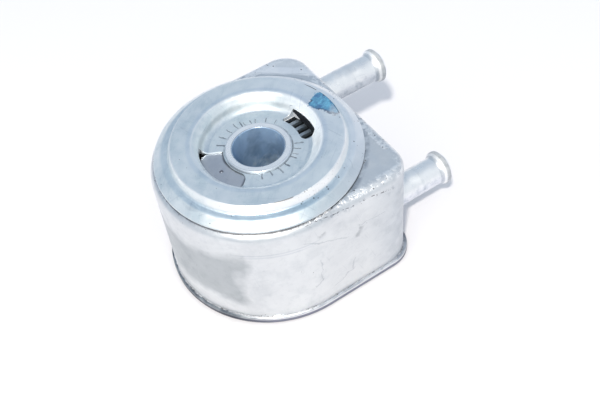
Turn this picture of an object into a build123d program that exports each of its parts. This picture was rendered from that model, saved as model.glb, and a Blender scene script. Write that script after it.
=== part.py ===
from build123d import *
from math import cos, radians, sin, tan
import os

# Engine oil cooler of the stacked plate kind, in millimetres.
# Z runs up the bore, X runs towards the two hose spigots.
# Zero is on the bore axis, in the plane that the cooler stands on.

os.makedirs("parts", exist_ok=True)

# Gap between brazed pieces where one goes round another
braze_gap = 0.05

# Can: half round on one side, square with two rounded corners on the spigot side
can_radius = 55.9
can_end_beyond = 0.4
can_corner = 15.5
can_top_z = 71.8
can_wall = 1.2
can_shoulder = 5.2

# Base plate, with a rim that stands up round the foot of the can
base_floor = 3.0
rim_height = 5.2
rim_side_wall = 1.4
rim_end_wall = 2.4
rim_top_round = 1.1
rim_foot_round = 2.1
seal_groove_inner = 38.0
seal_groove_width = 5.0
seal_groove_depth = 1.7

# Centre sleeve: the bore for the hollow bolt
bore_radius = 13.3
sleeve_wall = 1.5
sleeve_lip_radius = 17.1
sleeve_lip = 1.1
sleeve_lip_round = 0.7
sleeve_foot_round = 0.4

# Oil filter seat: recessed floor, slope, flat seat, step, narrow ledge, sloping rim
floor_thickness = 2.1
floor_radius = 26.6
slope_width = 5.9
seat_rise = 9.7
seat_width = 11.3
step_width = 1.7
step_drop = 4.2
ledge_width = 3.2
ledge_fall = 0.3
rim_width = 4.6
rim_edge_rise = 1.7
rim_lower_rise = 0.5
rim_lip = 1.8
foot_inset = 0.1
foot_width = 2.5
cap_sheet = 2.1
floor_corner_round = 4.0
seat_inner_round = 3.5
seat_outer_round = 0.8
step_foot_round = 1.6
ledge_round = 5.0
rim_edge_round = 0.6
foot_corner_round = 1.0

# Kidney ports: radii, first and last angle, corner rounds at those two ends
port_inner = 21.9
port_outer = 29.9
port_first_angle = -23.5
port_last_angle = 24.0
port_round = 3.6
port_corner = 0.6
closed_inner = 17.9
closed_first_angle = 150.0
closed_last_angle = 221.0
closed_round = 5.0
blank_corner = 4.6
blank_inner_corner = 1.4
blank_clearance = 0.1
blank_recess = 0.9
dimple_radius = 0.9
dimple_depth = 0.5
dimple_reach = 22.8
dimple_angle = 184.0

# Oil elements: pairs of dished plates round a corrugated fin sheet
element_count = 8
element_height = 4.6
plate_sheet = 0.6
plate_inset = 4.2
plate_flange = 1.8
hub_flange = 2.5
collar_wall = 1.0
fin_clearance = 0.8
fin_sheet = 0.4
fin_pitch = 4.8
fin_crest = 1.9

# Hose spigots: tube, rolled bead near the free end, flange inside the can
spigot_radius = 8.0
spigot_wall = 1.0
spigot_flange_radius = 9.2
spigot_flange = 1.2
bead_radius = 9.8
bead_back = 4.2
bead_crest = 2.0
bead_nose = 1.3
spigot_nose = 1.0
flange_round = 0.4
bead_back_round = 3.0
bead_rear_round = 1.2
bead_front_round = 0.6
bead_foot_round = 0.2
spigot_end_round = 0.3
spigot_inset = 24.9
upper_spigot_drop = 18.1
upper_bead_reach = 38.7
lower_spigot_z = 22.9
lower_bead_reach = 36.5

# Worked out from the sizes above
can_end_x = can_radius + can_end_beyond
can_inner_top = can_top_z - can_wall
sleeve_radius = bore_radius + sleeve_wall
floor_z = can_top_z + floor_thickness
seat_z = can_top_z + seat_rise
seat_inner = floor_radius + slope_width
seat_outer = seat_inner + seat_width
step_foot_radius = seat_outer + step_width
step_foot_z = seat_z - step_drop
ledge_radius = step_foot_radius + ledge_width
ledge_z = step_foot_z - ledge_fall
rim_radius = ledge_radius + rim_width
rim_edge_z = can_top_z + rim_edge_rise
rim_lower_z = can_top_z + rim_lower_rise
rim_under_radius = rim_radius - rim_lip
foot_inner = seat_outer + foot_inset
foot_outer = foot_inner + foot_width
spigot_side = can_radius - spigot_inset
upper_spigot_z = can_top_z - upper_spigot_drop
element_gap = (can_inner_top - base_floor - element_count * element_height) / (element_count - 1)
element_pitch = element_height + element_gap
half_element = element_height / 2
plate_slope = half_element - plate_sheet
plate_radius = can_radius - can_shoulder - plate_inset + plate_slope + plate_flange
fin_height = element_height - 2 * plate_sheet
fin_outer = plate_radius - plate_flange - plate_slope - fin_clearance
fin_inner = sleeve_radius + hub_flange + plate_slope + fin_clearance
fin_waves = int(fin_outer / fin_pitch)


def save(part, name):
    """Label one finished piece and write it."""
    part.label = name
    export_step(part, f"parts/{name}.step")


def spot(reach, angle):
    """Point at a radius and an angle in degrees."""
    return (reach * cos(radians(angle)), reach * sin(radians(angle)))


def plan(radius, end_x, corner):
    """Plan of the can: half round, with a flat end and two rounded corners."""
    with BuildSketch() as outline:
        Circle(radius)
        with Locations((end_x / 2, 0)):
            Rectangle(end_x, 2 * radius)
        fillet(outline.vertices().group_by(Axis.X)[-1], corner)
    return outline.sketch


def kidney(inner, outer, first, last, rounds):
    """Ring sector. Rounds: outer and inner corner of its first end, then of its last end."""
    ends = [(outer, first), (inner, first), (outer, last), (inner, last)]
    with BuildSketch() as outline:
        with BuildLine():
            CenterArc((0, 0), outer, first, last - first)
            Line(spot(outer, last), spot(inner, last))
            CenterArc((0, 0), inner, first, last - first)
            Line(spot(inner, first), spot(outer, first))
        make_face()
        for end, size in zip(ends, rounds):
            fillet(outline.vertices().sort_by_distance(spot(*end))[0], size)
    return outline.sketch


def ring(inner, outer, low, high):
    """Plain flat ring round the bore."""
    with BuildPart() as piece:
        with BuildSketch(Plane.XY.offset(low)):
            Circle(outer)
            Circle(inner, mode=Mode.SUBTRACT)
        extrude(amount=high - low)
    return piece.part


# Port outlines: the open one, the wider one that is blanked off and the inlet under it
open_port = kidney(
    port_inner,
    port_outer,
    port_first_angle,
    port_last_angle,
    (port_round, port_round, port_corner, port_corner),
)
closed_port = kidney(
    closed_inner,
    port_outer,
    closed_first_angle,
    closed_last_angle,
    (port_corner, port_corner, closed_round, closed_round),
)
inlet_port = kidney(
    port_inner,
    port_outer,
    closed_first_angle,
    closed_last_angle,
    (port_round, port_round, port_round, port_round),
)
blank_outline = kidney(
    closed_inner,
    port_outer,
    closed_first_angle,
    closed_last_angle,
    (blank_corner, blank_inner_corner, closed_round, closed_round),
)


# Housing can, drawn from one sheet
with BuildPart() as housing_can:
    with BuildSketch(Plane.XY.offset(base_floor)):
        add(plan(can_radius, can_end_x, can_corner))
    extrude(amount=can_top_z - base_floor)
    fillet(housing_can.faces().sort_by(Axis.Z)[-1].edges(), can_shoulder)
    offset(amount=-can_wall, openings=housing_can.faces().sort_by(Axis.Z)[0])
    with BuildSketch(Plane.XY.offset(can_inner_top)):
        Circle(sleeve_radius + braze_gap)
        add(open_port)
        add(closed_port)
    extrude(amount=can_wall, mode=Mode.SUBTRACT)
    with BuildSketch(Plane.YZ.offset(can_end_x)):
        with Locations((spigot_side, upper_spigot_z), (-spigot_side, lower_spigot_z)):
            Circle(spigot_radius + braze_gap)
    extrude(amount=-can_wall, mode=Mode.SUBTRACT)
save(housing_can.part, "housing_can")


# Base plate, open only under the inlet port
with BuildPart() as base_plate:
    with BuildSketch():
        add(plan(can_radius + rim_side_wall, can_end_x + rim_end_wall, can_corner + rim_side_wall))
    extrude(amount=rim_height)
    fillet(base_plate.faces().sort_by(Axis.Z)[-1].edges(), rim_top_round)
    fillet(base_plate.faces().sort_by(Axis.Z)[0].edges(), rim_foot_round)
    with BuildSketch(Plane.XY.offset(base_floor)):
        add(plan(can_radius + braze_gap, can_end_x + braze_gap, can_corner + braze_gap))
    extrude(amount=rim_height - base_floor, mode=Mode.SUBTRACT)
    with BuildSketch():
        Circle(sleeve_radius + braze_gap)
        add(inlet_port)
    extrude(amount=base_floor, mode=Mode.SUBTRACT)
    with BuildSketch():
        Circle(seal_groove_inner + seal_groove_width)
        Circle(seal_groove_inner, mode=Mode.SUBTRACT)
    extrude(amount=seal_groove_depth, mode=Mode.SUBTRACT)
save(base_plate.part, "base_plate")


# Filter seat cap, a pressed ring with a foot that is brazed to the can
with BuildPart() as filter_seat_cap:
    with BuildSketch(Plane.XZ):
        with BuildLine():
            FilletPolyline(
                (sleeve_radius + braze_gap, can_top_z),
                (sleeve_radius + braze_gap, floor_z),
                (floor_radius, floor_z),
                (seat_inner, seat_z),
                (seat_outer, seat_z),
                (step_foot_radius, step_foot_z),
                (ledge_radius, ledge_z),
                (rim_radius, rim_edge_z),
                (rim_radius, rim_lower_z),
                (rim_under_radius, rim_lower_z),
                (foot_outer, can_top_z),
                (foot_inner, can_top_z),
                (seat_outer - cap_sheet / 2, seat_z - cap_sheet),
                (seat_inner + cap_sheet / 2, seat_z - cap_sheet),
                (floor_radius + cap_sheet / 2, can_top_z),
                radius=[
                    0,
                    0,
                    floor_corner_round,
                    seat_inner_round,
                    seat_outer_round,
                    step_foot_round,
                    ledge_round,
                    rim_edge_round,
                    rim_edge_round,
                    0,
                    0,
                    0,
                    foot_corner_round,
                    foot_corner_round,
                    0,
                ],
                close=True,
            )
        make_face()
    revolve(axis=Axis.Z)
    with BuildSketch(Plane.XY.offset(can_top_z)):
        add(open_port)
        add(closed_port)
    extrude(amount=seat_z - can_top_z, mode=Mode.SUBTRACT)
save(filter_seat_cap.part, "filter_seat_cap")


# Centre sleeve, flared over the floor of the cap
with BuildPart() as centre_sleeve:
    with BuildSketch(Plane.XZ):
        with BuildLine():
            FilletPolyline(
                (bore_radius, 0),
                (sleeve_radius, 0),
                (sleeve_radius, floor_z),
                (sleeve_lip_radius, floor_z),
                (sleeve_lip_radius, floor_z + sleeve_lip),
                (bore_radius, floor_z + sleeve_lip),
                radius=[0, sleeve_foot_round, 0, 0, sleeve_lip_round, sleeve_lip_round],
                close=True,
            )
        make_face()
    revolve(axis=Axis.Z)
save(centre_sleeve.part, "centre_sleeve")


# Plate that blanks off the wider port, with rounded corners and one dimple
with BuildPart() as port_blanking_plate:
    with BuildSketch(Plane.XY.offset(can_inner_top)):
        add(blank_outline)
        offset(amount=-blank_clearance)
    extrude(amount=floor_z - blank_recess - can_inner_top)
    with BuildSketch(Plane.XY.offset(floor_z - blank_recess)):
        with Locations(spot(dimple_reach, dimple_angle)):
            Circle(dimple_radius)
    extrude(amount=-dimple_depth, mode=Mode.SUBTRACT)
save(port_blanking_plate.part, "port_blanking_plate")


def hose_spigot(side, height, bead_reach):
    """Spigot along X with its flange against the inside of the can."""
    seat_x = can_end_x - can_wall
    crest = can_wall + bead_reach
    with BuildPart() as spigot:
        with BuildSketch(Plane((seat_x, side, height), x_dir=(1, 0, 0), z_dir=(0, -1, 0))):
            with BuildLine():
                FilletPolyline(
                    (-spigot_flange, spigot_radius - spigot_wall),
                    (-spigot_flange, spigot_flange_radius),
                    (0, spigot_flange_radius),
                    (0, spigot_radius),
                    (crest - bead_back, spigot_radius),
                    (crest - bead_crest / 2, bead_radius),
                    (crest + bead_crest / 2, bead_radius),
                    (crest + bead_nose, spigot_radius),
                    (crest + bead_nose + spigot_nose, spigot_radius),
                    (crest + bead_nose + spigot_nose, spigot_radius - spigot_wall),
                    radius=[
                        0,
                        flange_round,
                        0,
                        0,
                        bead_back_round,
                        bead_rear_round,
                        bead_front_round,
                        bead_foot_round,
                        spigot_end_round,
                        0,
                    ],
                    close=True,
                )
            make_face()
        revolve(axis=Axis((seat_x, side, height), (1, 0, 0)))
    return spigot.part


save(hose_spigot(spigot_side, upper_spigot_z, upper_bead_reach), "upper_hose_spigot")
save(hose_spigot(-spigot_side, lower_spigot_z, lower_bead_reach), "lower_hose_spigot")


def oil_plate(low, upper, ports, collared):
    """One dished plate of an oil element that starts at height low."""

    def level(rise):
        return low + (element_height - rise if upper else rise)

    hub_in = sleeve_radius + braze_gap
    hub_out = sleeve_radius + hub_flange
    rim_in = plate_radius - plate_flange
    lean = plate_sheet * tan(radians(22.5))
    with BuildPart() as plate:
        with BuildSketch(Plane.XZ):
            with BuildLine():
                Polyline(
                    (hub_in, level(half_element)),
                    (hub_in, level(half_element - plate_sheet)),
                    (hub_out, level(half_element - plate_sheet)),
                    (hub_out + plate_slope, level(0)),
                    (rim_in - plate_slope, level(0)),
                    (rim_in, level(half_element - plate_sheet)),
                    (plate_radius, level(half_element - plate_sheet)),
                    (plate_radius, level(half_element)),
                    (rim_in - lean, level(half_element)),
                    (rim_in - plate_slope - lean, level(plate_sheet)),
                    (hub_out + plate_slope + lean, level(plate_sheet)),
                    (hub_out + lean, level(half_element)),
                    close=True,
                )
            make_face()
        revolve(axis=Axis.Z)
        if collared:
            with BuildSketch(Plane.XY.offset(low + element_height)):
                for port in ports:
                    add(port)
                offset(amount=collar_wall)
            extrude(amount=element_gap)
        with BuildSketch(Plane.XY.offset(low)):
            for port in ports:
                add(port)
        extrude(amount=element_pitch, mode=Mode.SUBTRACT)
    return plate.part


def fin_edge(start, rise):
    """One side of the corrugated sheet, as points along Y."""
    flank = fin_pitch / 2 - fin_crest
    low, high = rise, rise + fin_height - fin_sheet
    return [
        (start, low),
        (start + fin_crest, low),
        (start + fin_crest + flank, high),
        (start + 2 * fin_crest + flank, high),
    ]


# Corrugated fin sheet that fills one element, with its crests along X
with BuildPart() as fin:
    with BuildSketch(Plane.YZ):
        with BuildLine():
            starts = [wave * fin_pitch - fin_crest / 2 for wave in range(-fin_waves, fin_waves)]
            below = [point for start in starts for point in fin_edge(start, 0)]
            above = [point for start in starts for point in fin_edge(start, fin_sheet)]
            Polyline(below + above[::-1], close=True)
        make_face()
    extrude(amount=fin_outer, both=True)
    with BuildSketch():
        Circle(fin_outer)
        Circle(fin_inner, mode=Mode.SUBTRACT)
    extrude(amount=fin_height, mode=Mode.INTERSECT)


# Stack of oil elements, numbered from the base up
for number in range(1, element_count + 1):
    low = base_floor + (number - 1) * element_pitch
    first = number == 1
    last = number == element_count
    lower_ports = [inlet_port] if first else [inlet_port, open_port]
    save(oil_plate(low, False, lower_ports, False), f"lower_plate_{number}")
    save(oil_plate(low, True, [inlet_port, open_port], not last), f"upper_plate_{number}")
    save(fin.part.moved(Location((0, 0, low + plate_sheet))), f"fin_sheet_{number}")

# Hub rings round the sleeve, below, between and above the elements
for number in range(element_count + 1):
    under = base_floor + (number - 1) * element_pitch + half_element + plate_sheet
    over = base_floor + number * element_pitch + half_element - plate_sheet
    hub_ring = ring(
        sleeve_radius + braze_gap,
        sleeve_radius + hub_flange,
        max(under, base_floor),
        min(over, can_inner_top),
    )
    save(hub_ring, f"hub_ring_{number + 1}")
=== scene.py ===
from math import cos, degrees, hypot, pi, radians, sin
from random import Random

import bmesh
import bpy
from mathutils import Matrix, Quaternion, Vector
from mathutils.bvhtree import BVHTree


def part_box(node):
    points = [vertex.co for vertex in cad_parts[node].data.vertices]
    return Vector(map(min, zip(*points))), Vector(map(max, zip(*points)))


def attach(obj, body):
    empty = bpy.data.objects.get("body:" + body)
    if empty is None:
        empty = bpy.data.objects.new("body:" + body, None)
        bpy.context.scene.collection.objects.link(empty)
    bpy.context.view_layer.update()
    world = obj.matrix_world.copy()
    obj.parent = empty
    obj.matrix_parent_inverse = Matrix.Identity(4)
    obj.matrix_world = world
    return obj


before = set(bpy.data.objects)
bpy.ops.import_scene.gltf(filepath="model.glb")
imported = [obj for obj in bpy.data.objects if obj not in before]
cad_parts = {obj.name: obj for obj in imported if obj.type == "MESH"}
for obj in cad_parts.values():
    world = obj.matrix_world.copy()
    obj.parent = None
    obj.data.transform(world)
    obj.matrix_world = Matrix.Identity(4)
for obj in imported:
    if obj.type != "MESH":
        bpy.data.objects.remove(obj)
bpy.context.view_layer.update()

# Camera: place, point looked at, lens and roll
CAMERA_PLACE = (-0.1282, -0.2784, 0.3961)
CAMERA_AIM = (0.0131, -0.0123, 0.0350)
CAMERA_LENS = 53.09
CAMERA_ROLL = -7.3

# Light: places and sizes in metres, power in watts
KEY_PLACE = (-0.564, -0.69, 1.44)
KEY_AIM = (0, 0, 0.03)
KEY_SIZE = 0.12
KEY_POWER = 20.6
KEY_COLOR = (1.0, 0.93, 0.84)
SKY_FAR = (0.51, 0.60, 0.72, 1)
SKY_NEAR = (0.80, 0.85, 0.92, 1)
SKY_FRONT = (-0.42, -0.91, 0.0)
SKY_TURN = (-0.6, 0.35)
FLOOR_COLOR = (0.81, 0.80, 0.815, 1)
FLOOR_GLOW = 0.03
FLOOR_SIZE = 6.0

# The can's outline, in metres: back radius, flat end and its corners, and the height of the base's rim
CAN_RADIUS = 0.0559
CAN_END = 0.0563
CAN_CORNER = 0.0155
RIM_TOP = 0.0052

# The hose spigots, in metres: outer radius, and for each its side, its height and how far out the bead is
SPIGOT_RADIUS = 0.008
UPPER_SPIGOT = (0.031, 0.0537, 0.0950)
LOWER_SPIGOT = (-0.031, 0.0229, 0.0928)

# The open port's sheared edge, in metres and degrees: how far out it and the solid's cut reach,
# its flat far side, where it starts and ends, and the underside of the sheet
PORT_REACH = 0.0291
PORT_CUT = 0.0299
PORT_FAR_SIDE = 0.0095
PORT_ANGLES = (-23.4, 24.0)
SHEET_UNDERSIDE = 0.0713

# Flux grains, in metres: how high they sit, then for each seam the share of its places that get one,
# the smallest and the largest size, and the seed
GRAIN_LIFT = 0.00005
FOOT_GRAINS = (0.16, 0.00009, 0.0003, 3)
CAP_GRAINS = (0.12, 0.00008, 0.00024, 4)
SPIGOT_GRAINS = (0.5, 0.00008, 0.00026, 6)

# From here on millimetres and degrees, because the finishes work in them
MM = 1000.0

# Radii and heights of the sleeve, the cap, the can, the base and the spigots
BORE = 13.3
LIP = 17.1
FLOOR_EDGE = 26.6
FLOOR_TOP = 73.9
SEAT_INNER = 32.5
SEAT_OUTER = 43.8
SEAT_TOP = 81.5
STEP_FOOT = 45.5
LEDGE_EDGE = 48.7
CAP_EDGE = 53.3
CAP_FOOT = 72.3
CAN_TOP = 71.8
RIM = RIM_TOP * MM
TUBE = 8.0
TUBE_BORE = 7.0
CLIP_MARK = (76.0, 77.0)

# Edges of the blanking plate by radius, and the angle of its far end
BLANK_INNER = 18.9
BLANK_OUTER = 29.1
BLANK_END = -140.6

# Marks on the near wall by x and z: creases with their width and sway, and scuffs
WALL_CREASES = (
    ((-3.0, 41.4), (-2.4, 25.1), 0.4, 6.0), ((-2.4, 25.1), (-6.3, 21.8), 0.5, 4.0),
    ((16.5, 19.6), (3.2, 12.8), 0.4, 5.0), ((17.5, 27.0), (15.6, 20.0), 0.6, 5.0),
    ((-10.3, 60.0), (13.3, 48.0), 0.4, 5.0), ((21.0, 52.0), (36.0, 50.5), 0.3, 5.0))
WALL_SCUFFS = (((22.2, 49.4), (19.8, 44.2)), ((0.6, 60.8), (-2.0, 60.2)))

# The run of dirt below the cap, by x and by the height that a straight shoulder would have there
DIRT_RUN = ((-10.0, 74.0), (7.0, 71.0), (18.0, 69.2), (30.0, 68.0), (42.0, 64.4))

# Shallow beads low on the shoulder: height, first and last angle
SHOULDER_BEADS = ((58.4, -132, -96), (56.6, -126, -104))

# Dark lines at the seat's outer edge: first and last angle, inner and outer radius
SEAT_LINES = ((-110.0, -97.0, 43.45, 43.85), (-13.0, 21.0, 43.3, 43.6))

# Nicks and dirt on the step and the rim: radii, angles, then the specks' cell, size and share
CAP_NICKS = (
    (43.6, 47.6, -95.0, -60.0, 1.4, 0.66, 0.42), (43.4, 46.8, -150.0, -118.0, 2.0, 0.45, 0.20),
    (47.5, 54.0, -40.0, 75.0, 2.3, 0.60, 0.22), (51.5, 53.6, 8.0, 34.0, 1.6, 0.70, 0.45),
    (51.8, 53.6, 150.0, 180.0, 1.5, 0.42, 0.35), (51.8, 53.6, -180.0, -136.0, 1.5, 0.42, 0.35))

# Angles of the fine creases round the sleeve's flare
FLARE_CREASES = (31, 46.6, 62, 71, 79, 86, 94, 108, 123, 138.5,
                 -28, -37, -48.6, -56.7, -73, -87, -101.5, -117)

# Middle of the blanking plate's dimple
DIMPLE = (-22.74, -1.59)

# Corners of the blue paint dab on the filter seat
DAB_CORNERS = ((33.2, 2.4), (37.0, -4.6), (40.6, -11.6), (43.9, -9.6), (43.6, 6.4), (40.2, 7.6))

# Colours that return
WHITE = (1.0, 1.0, 1.0, 1)
COOL_WHITE = (0.97, 0.985, 1.0, 1)
WARM_WHITE = (0.97, 0.975, 0.96, 1)
CHALK = (0.97, 0.975, 0.97, 1)
# the next colour is painted shade, for creases and the foot of the sleeve's flare
CREASE_SHADE = (0.13, 0.15, 0.18, 1)


def dirt(level):
    """A dark grey that leans a little towards blue."""
    return (level, level, level + 0.01, 1)


class Tree:
    """Small helper that adds and joins nodes."""

    def __init__(self, node_tree):
        self.nodes = node_tree.nodes
        self.links = node_tree.links

    def add(self, kind, values=None, **settings):
        made = self.nodes.new(kind)
        for key, value in settings.items():
            setattr(made, key, value)
        for key, value in (values or {}).items():
            self.put(next(socket for socket in made.inputs if socket.name == key and socket.enabled), value)
        return made

    def put(self, socket, value):
        if isinstance(value, bpy.types.NodeSocket):
            self.links.new(value, socket)
        else:
            socket.default_value = value

    def math(self, operation, *values, clamp=False):
        made = self.nodes.new("ShaderNodeMath")
        made.operation = operation
        made.use_clamp = clamp
        for socket, value in zip(made.inputs, values):
            self.put(socket, value)
        return made.outputs[0]

    def noise(self, vector, scale, detail=2.0, rough=0.5):
        values = {"Vector": vector, "Scale": scale, "Detail": detail, "Roughness": rough}
        return self.add("ShaderNodeTexNoise", values).outputs["Fac"]

    def stretch(self, vector, scale, turn=(0, 0, 0)):
        """Turn the place first and stretch it after."""
        sizes = tuple(1 / part for part in scale)
        values = {"Vector": vector, "Scale": sizes, "Rotation": turn}
        return self.add("ShaderNodeMapping", values, vector_type="TEXTURE").outputs["Vector"]

    def ramp(self, value, low, high, low_out=0.0, high_out=1.0):
        values = {"Value": value, "From Min": low, "From Max": high, "To Min": low_out, "To Max": high_out}
        return self.add("ShaderNodeMapRange", values, clamp=True).outputs["Result"]

    def shift(self, value, noise, reach):
        """A value that a noise pushes up and down by half the reach."""
        return self.math("MULTIPLY_ADD", self.math("SUBTRACT", noise, 0.5), reach, value)

    def away(self, first, second):
        """How far a place is from zero in two directions."""
        squares = (self.math("MULTIPLY", part, part) for part in (first, second))
        return self.math("SQRT", self.math("ADD", *squares))

    def band(self, value, low, high, soft):
        """One between low and high, falling to zero over the soft width outside them."""
        rise = self.ramp(value, low - soft, low)
        fall = self.ramp(value, high, high + soft, 1.0, 0.0)
        return self.math("MULTIPLY", rise, fall)

    def times(self, first, *others):
        for other in others:
            first = self.math("MULTIPLY", first, other)
        return first

    def mix(self, share, first, second, blend="MIX"):
        made = self.add("ShaderNodeMix", data_type="RGBA", blend_type=blend)
        self.put(made.inputs[0], share)
        self.put(made.inputs[6], first)
        self.put(made.inputs[7], second)
        return made.outputs[2]


class Finish:
    """A metal surface built up in layers of colour, roughness and relief.

    Places are in millimetres, angles in degrees round the bore, relief in tenths of a millimetre.
    """

    def __init__(self, name, bright, dull, smooth, rough, cloud_scale=26.0):
        self.material = bpy.data.materials.new(name)
        self.material.use_nodes = True
        tree = self.tree = Tree(self.material.node_tree)
        self.shader = tree.nodes["Principled BSDF"]
        self.metal(1.0)
        self.place = tree.add("ShaderNodeTexCoord").outputs["Object"]
        parts = tree.add("ShaderNodeSeparateXYZ", {"Vector": self.place}).outputs
        self.x, self.y, self.z = (tree.math("MULTIPLY", part, MM) for part in parts)
        self.radius = tree.away(self.x, self.y)
        self.angle = tree.math("DEGREES", tree.math("ARCTAN2", self.y, self.x))
        self.cloud = tree.noise(self.place, cloud_scale, 4.0, 0.6)
        self.mottle = tree.noise(self.place, 170.0, 3.0, 0.6)
        self.grit = tree.noise(self.place, 1500.0, 2.0, 0.6)
        self.color = tree.mix(tree.ramp(self.cloud, 0.36, 0.66), bright, dull)
        self.rough = tree.ramp(self.mottle, 0.3, 0.7, smooth, rough)
        self.height = tree.math("MULTIPLY", self.grit, 0.06)

    def layer(self, mask, color, share, blend):
        if share != 1.0:
            mask = self.tree.math("MULTIPLY", mask, share)
        self.color = self.tree.mix(mask, self.color, color, blend)

    def tint(self, mask, color, share=1.0):
        """Cover the surface with a colour where the mask is one."""
        self.layer(mask, color, share, "MIX")

    def shade(self, mask, color, share=1.0):
        """Darken the surface by a colour where the mask is one."""
        self.layer(mask, color, share, "MULTIPLY")

    def roughen(self, mask, amount):
        self.rough = self.tree.math("MULTIPLY_ADD", mask, amount, self.rough)

    def lift(self, mask, amount):
        self.height = self.tree.math("MULTIPLY_ADD", mask, amount, self.height)

    def metal(self, share):
        self.tree.put(self.shader.inputs["Metallic"], share)

    def streaks(self, scale, detail=2.0, rough=0.5, turn=(0, 0, 0)):
        """Noise of a different scale along each axis."""
        return self.tree.noise(self.tree.stretch(self.place, scale, turn), 1.0, detail, rough)

    def blots(self, scale, detail, rough, low, high):
        """Patches where a noise is above a level."""
        return self.tree.ramp(self.tree.noise(self.place, scale, detail, rough), low, high)

    def rings(self, scale, detail=2.0, rough=0.5):
        """Noise that runs in rings round the bore."""
        line = self.tree.add("ShaderNodeCombineXYZ", {"X": self.tree.math("MULTIPLY", self.radius, scale)})
        return self.tree.noise(line.outputs[0], 1.0, detail, rough)

    def scratches(self, turn):
        return self.tree.ramp(self.streaks((1400.0, 55.0, 55.0), turn=turn), 0.66, 0.71)

    def specks(self, cell, size, share):
        """Small marks, one in some of the cells of a loose grid."""
        tree = self.tree
        cells = tree.add("ShaderNodeTexVoronoi", {"Vector": self.place, "Scale": MM / cell})
        edge = tree.math("MULTIPLY_ADD", self.grit, 0.5 * size / cell, cells.outputs["Distance"])
        red = tree.add("ShaderNodeSeparateColor", {"Color": cells.outputs["Color"]}).outputs[0]
        chosen = tree.ramp(red, 1.0 - share, 1.01 - share)
        return tree.times(tree.ramp(edge, size / cell, 0.6 * size / cell), chosen)

    def wear(self, amount=0.5, turns=((0.1, 0.3, 0.9), (0.6, 0.2, 2.2), (0.4, 1.1, 0.3))):
        """Handling marks: thin scratches in a few directions, thicker where the cloud is dense."""
        for turn in turns:
            marks = self.tree.times(self.scratches(turn), self.tree.ramp(self.cloud, 0.42, 0.6))
            self.lift(marks, -0.12)
            self.shade(marks, (0.74, 0.76, 0.79, 1), amount)

    def line(self, start, end, width, wiggle, other=None):
        """A thin uneven line between two places, given by x and by z or another height."""
        tree = self.tree
        run, rise = end[0] - start[0], end[1] - start[1]
        length = hypot(run, rise)
        other = self.z if other is None else other
        first = tree.math("SUBTRACT", self.x, start[0])
        second = tree.math("SUBTRACT", other, start[1])
        along = tree.math("MULTIPLY_ADD", first, run / length, tree.math("MULTIPLY", second, rise / length))
        aside = tree.math("MULTIPLY_ADD", first, -rise / length,
                          tree.math("MULTIPLY", second, run / length))
        aside = tree.math("ABSOLUTE", tree.shift(aside, self.mottle, wiggle))
        return tree.times(tree.ramp(aside, width, 0.2 * width), tree.band(along, 0.0, length, 1.5))

    def patch(self, corners, ragged):
        """Distance in from the ragged edge of a patch with the given corners, anticlockwise."""
        tree = self.tree
        inside = None
        for (x0, y0), (x1, y1) in zip(corners, corners[1:] + corners[:1]):
            length = hypot(x1 - x0, y1 - y0)
            nx, ny = (y0 - y1) / length, (x1 - x0) / length
            flat = tree.math("MULTIPLY_ADD", self.x, nx, -(x0 * nx + y0 * ny))
            flat = tree.math("MULTIPLY_ADD", self.y, ny, flat)
            inside = flat if inside is None else tree.math("MINIMUM", inside, flat)
        return tree.shift(inside, tree.noise(self.place, 330.0, 3.0, 0.7), ragged)

    def close(self, strength=0.6):
        tree = self.tree
        tree.put(self.shader.inputs["Base Color"], self.color)
        tree.put(self.shader.inputs["Roughness"], tree.math("MINIMUM", self.rough, 0.9, clamp=True))
        bump = tree.add("ShaderNodeBump", {"Strength": strength, "Distance": 0.0001, "Height": self.height})
        tree.put(self.shader.inputs["Normal"], bump.outputs["Normal"])
        return self.material


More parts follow.
